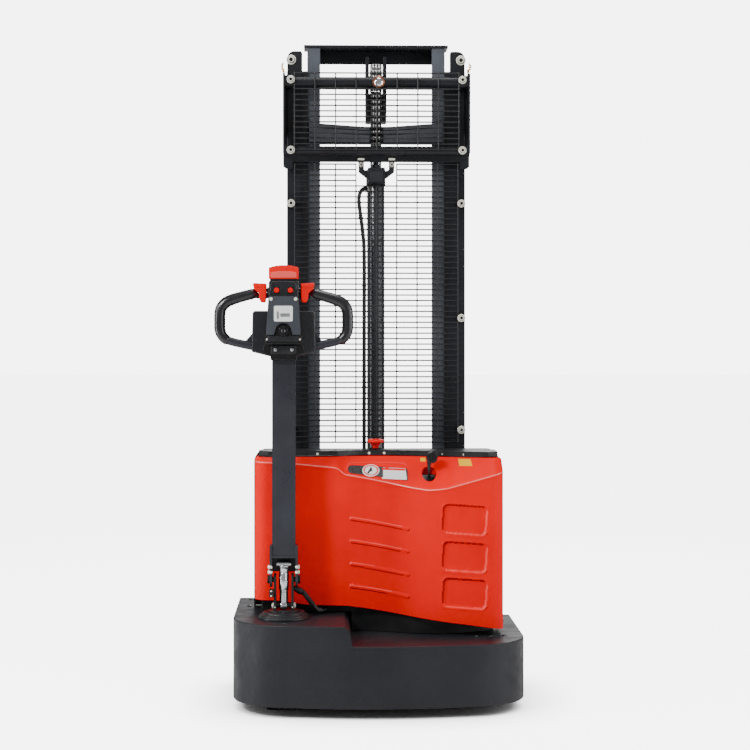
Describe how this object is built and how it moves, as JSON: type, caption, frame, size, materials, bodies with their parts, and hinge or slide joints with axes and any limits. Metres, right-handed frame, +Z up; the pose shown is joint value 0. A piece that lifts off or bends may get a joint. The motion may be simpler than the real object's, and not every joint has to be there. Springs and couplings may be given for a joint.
{
  "type": "walkie stacker",
  "caption": "Electric pedestrian stacker: offset tiller on a round-cornered base, battery hood, meshed two-stage mast and forks over straddling support legs.",
  "frame": {"origin": "centre of the bounding box, on the floor under the wheels", "axes": "+Z up, +Y from the operator towards the fork tips, +X to the operator's right"},
  "size_m": [0.9031, 1.84, 1.981],
  "materials": {
    "cover_black": "fine-textured powder coat",
    "frame_black": "satin",
    "mast_black": "satin",
    "fork_black": "semi-gloss, scuffed",
    "hood_red": "gloss brow over fine-grained face",
    "hood_black": "satin",
    "tray_black": "satin",
    "battery_case": "semi-gloss",
    "tank_white": "translucent, matte",
    "motor_black": "satin",
    "cast_aluminium": "cast",
    "charger_grey": "satin",
    "lead_rubber": "matte",
    "plug_black": "semi-gloss",
    "panel_black": "satin",
    "button_red": "gloss",
    "wire_black": "satin",
    "fastener_zinc": "zinc plated",
    "hose_rubber": "matte",
    "chain_steel": "oiled",
    "roller_steel": "greased",
    "axle_steel": "turned",
    "rod_chrome": "polished",
    "tyre_black": "matte",
    "wheel_poly": "satin polyurethane",
    "tiller_metal": "fine-textured",
    "tiller_plastic": "satin",
    "tiller_grey": "fine-grained",
    "grip_rubber": "fine-grained",
    "strut_steel": "turned"
  },
  "bodies": {
    "chassis": {"base_cover": "cover_black", "base_frame": "frame_black", "leg_left": "frame_black", "leg_right": "frame_black", "leg_axles": "axle_steel", "battery_tray": "tray_black", "hood_cover": "hood_red", "hood_shell": "hood_black", "batteries": "battery_case", "oil_tank": "tank_white", "pump_motor": "motor_black", "motor_controller": "cast_aluminium", "battery_charger": "charger_grey", "charger_lead": "lead_rubber", "charger_plug": "plug_black", "indicator_panel": "panel_black", "stop_button_base": "plug_black", "outer_mast_channels": "mast_black", "outer_mast_ties": "mast_black", "guard_frame": "mast_black", "guard_mesh": "wire_black", "guard_bolts": "fastener_zinc", "lift_cylinder": "mast_black", "cylinder_clamp": "frame_black", "lift_hose": "hose_rubber", "chain_rear": "chain_steel", "steering_collar": "frame_black", "tiller_conduit": "hose_rubber"},
    "inner_mast": {"inner_mast_channels": "mast_black", "inner_mast_ties": "mast_black", "pulley_bracket": "mast_black", "lift_rod": "rod_chrome", "chain_front": "chain_steel"},
    "chain_wheel": {"chain_pulley": "roller_steel"},
    "mast_rollers": {"inner_mast_rollers": "roller_steel"},
    "carriage": {"carriage_frame": "frame_black", "fork_left": "fork_black", "fork_right": "fork_black"},
    "upper_rollers": {"carriage_upper_rollers": "roller_steel"},
    "lower_rollers": {"carriage_lower_rollers": "roller_steel"},
    "drive_unit": {"steering_yoke": "frame_black", "drive_gearbox": "cast_aluminium", "drive_motor": "motor_black"},
    "drive_wheel": {"drive_wheel": "tyre_black"},
    "caster_swivel": {"caster_fork": "axle_steel"},
    "caster_wheel": {"caster_wheel": "tyre_black"},
    "load_wheel_left": {"load_wheel_left": "wheel_poly"},
    "load_wheel_right": {"load_wheel_right": "wheel_poly"},
    "tiller": {"tiller_arm": "tiller_metal", "tiller_head": "tiller_plastic", "tiller_cover": "tiller_grey", "tiller_handles": "grip_rubber"},
    "belly_button": {"belly_button": "button_red"},
    "throttle": {"throttle": "button_red"},
    "lift_button": {"lift_button": "button_red"},
    "lower_button": {"lower_button": "button_red"},
    "key_switch": {"key_switch": "plug_black"},
    "strut_rod": {"gas_spring_rod": "strut_steel"},
    "strut_barrel": {"gas_spring_barrel": "strut_steel"},
    "stop_button": {"stop_button": "button_red"}
  },
  "joints": [
    {"name": "mast_lift", "type": "slide", "parent": "chassis", "child": "inner_mast", "axis": [0, 0, 1], "range_m": [0, 1.35], "deforming": ["chain_rear", "chain_front"]},
    {"name": "carriage_lift", "type": "slide", "parent": "inner_mast", "child": "carriage", "axis": [0, 0, 1], "range_m": [0, 1.35]},
    {"name": "chain_wheel_turn", "type": "hinge", "parent": "inner_mast", "child": "chain_wheel", "pos_m": [0.0265, -0.421, 1.88], "axis": [1, 0, 0], "continuous": true},
    {"name": "mast_roller_turn", "type": "hinge", "parent": "inner_mast", "child": "mast_rollers", "pos_m": [0.0265, -0.395, 0.13], "axis": [1, 0, 0], "continuous": true},
    {"name": "upper_roller_turn", "type": "hinge", "parent": "carriage", "child": "upper_rollers", "pos_m": [0.0265, -0.395, 0.44], "axis": [1, 0, 0], "continuous": true},
    {"name": "lower_roller_turn", "type": "hinge", "parent": "carriage", "child": "lower_rollers", "pos_m": [0.0265, -0.395, 0.13], "axis": [1, 0, 0], "continuous": true},
    {"name": "steering", "type": "hinge", "parent": "chassis", "child": "drive_unit", "pos_m": [-0.2505, -0.745, 0.24], "axis": [0, 0, 1], "range_deg": [-90, 60]},
    {"name": "drive_wheel_turn", "type": "hinge", "parent": "drive_unit", "child": "drive_wheel", "pos_m": [-0.2505, -0.745, 0.105], "axis": [1, 0, 0], "continuous": true},
    {"name": "caster_swivel", "type": "hinge", "parent": "chassis", "child": "caster_swivel", "pos_m": [0.3265, -0.73, 0.17], "axis": [0, 0, 1], "continuous": true},
    {"name": "caster_wheel_turn", "type": "hinge", "parent": "caster_swivel", "child": "caster_wheel", "pos_m": [0.3265, -0.695, 0.0625], "axis": [1, 0, 0], "continuous": true},
    {"name": "load_wheel_left_turn", "type": "hinge", "parent": "chassis", "child": "load_wheel_left", "pos_m": [-0.1685, 0.52, 0.037], "axis": [1, 0, 0], "continuous": true},
    {"name": "load_wheel_right_turn", "type": "hinge", "parent": "chassis", "child": "load_wheel_right", "pos_m": [0.2215, 0.52, 0.037], "axis": [1, 0, 0], "continuous": true},
    {"name": "tiller_tilt", "type": "hinge", "parent": "drive_unit", "child": "tiller", "pos_m": [-0.2505, -0.735, 0.375], "axis": [1, 0, 0], "range_deg": [0, 80], "stiffness_Nm_per_rad": 20, "springref_deg": -57.3},
    {"name": "strut_swing", "type": "hinge", "parent": "drive_unit", "child": "strut_rod", "pos_m": [-0.2505, -0.742, 0.3], "axis": [1, 0, 0], "range_deg": [0, 28]},
    {"name": "strut_stroke", "type": "slide", "parent": "strut_rod", "child": "strut_barrel", "axis": [0, -0.025, -0.9997], "range_m": [0, 0.033]},
    {"name": "belly_press", "type": "slide", "parent": "tiller", "child": "belly_button", "axis": [0, 0, -1], "range_m": [0, 0.005], "stiffness_N_per_m": 400, "springref_m": -0.015},
    {"name": "throttle_turn", "type": "hinge", "parent": "tiller", "child": "throttle", "pos_m": [-0.2505, -0.754, 1.216], "axis": [1, 0, 0], "range_deg": [-30, 30], "stiffness_Nm_per_rad": 0.5},
    {"name": "lift_press", "type": "slide", "parent": "tiller", "child": "lift_button", "axis": [0, 1, 0], "range_m": [0, 0.0025], "stiffness_N_per_m": 400, "springref_m": -0.003},
    {"name": "lower_press", "type": "slide", "parent": "tiller", "child": "lower_button", "axis": [0, 1, 0], "range_m": [0, 0.0025], "stiffness_N_per_m": 400, "springref_m": -0.003},
    {"name": "key_turn", "type": "hinge", "parent": "tiller", "child": "key_switch", "pos_m": [-0.2505, -0.795, 1.098], "axis": [0, 1, 0], "range_deg": [0, 90]},
    {"name": "stop_press", "type": "slide", "parent": "chassis", "child": "stop_button", "axis": [0, 0, -1], "range_m": [0, 0.006]}
  ],
  "couplings": [
    {"joint": "carriage_lift", "follows": "mast_lift", "ratio": 1},
    {"joint": "chain_wheel_turn", "follows": "mast_lift", "rad_per_m": 23.809},
    {"joint": "mast_roller_turn", "follows": "mast_lift", "rad_per_m": 23.419},
    {"joint": "upper_roller_turn", "follows": "mast_lift", "rad_per_m": -26.667},
    {"joint": "lower_roller_turn", "follows": "mast_lift", "rad_per_m": 26.667},
    {"joint": "strut_swing", "follows": "tiller_tilt", "ratio": 0.338},
    {"joint": "strut_stroke", "follows": "tiller_tilt", "m_per_rad": 0.0229}
  ]
}
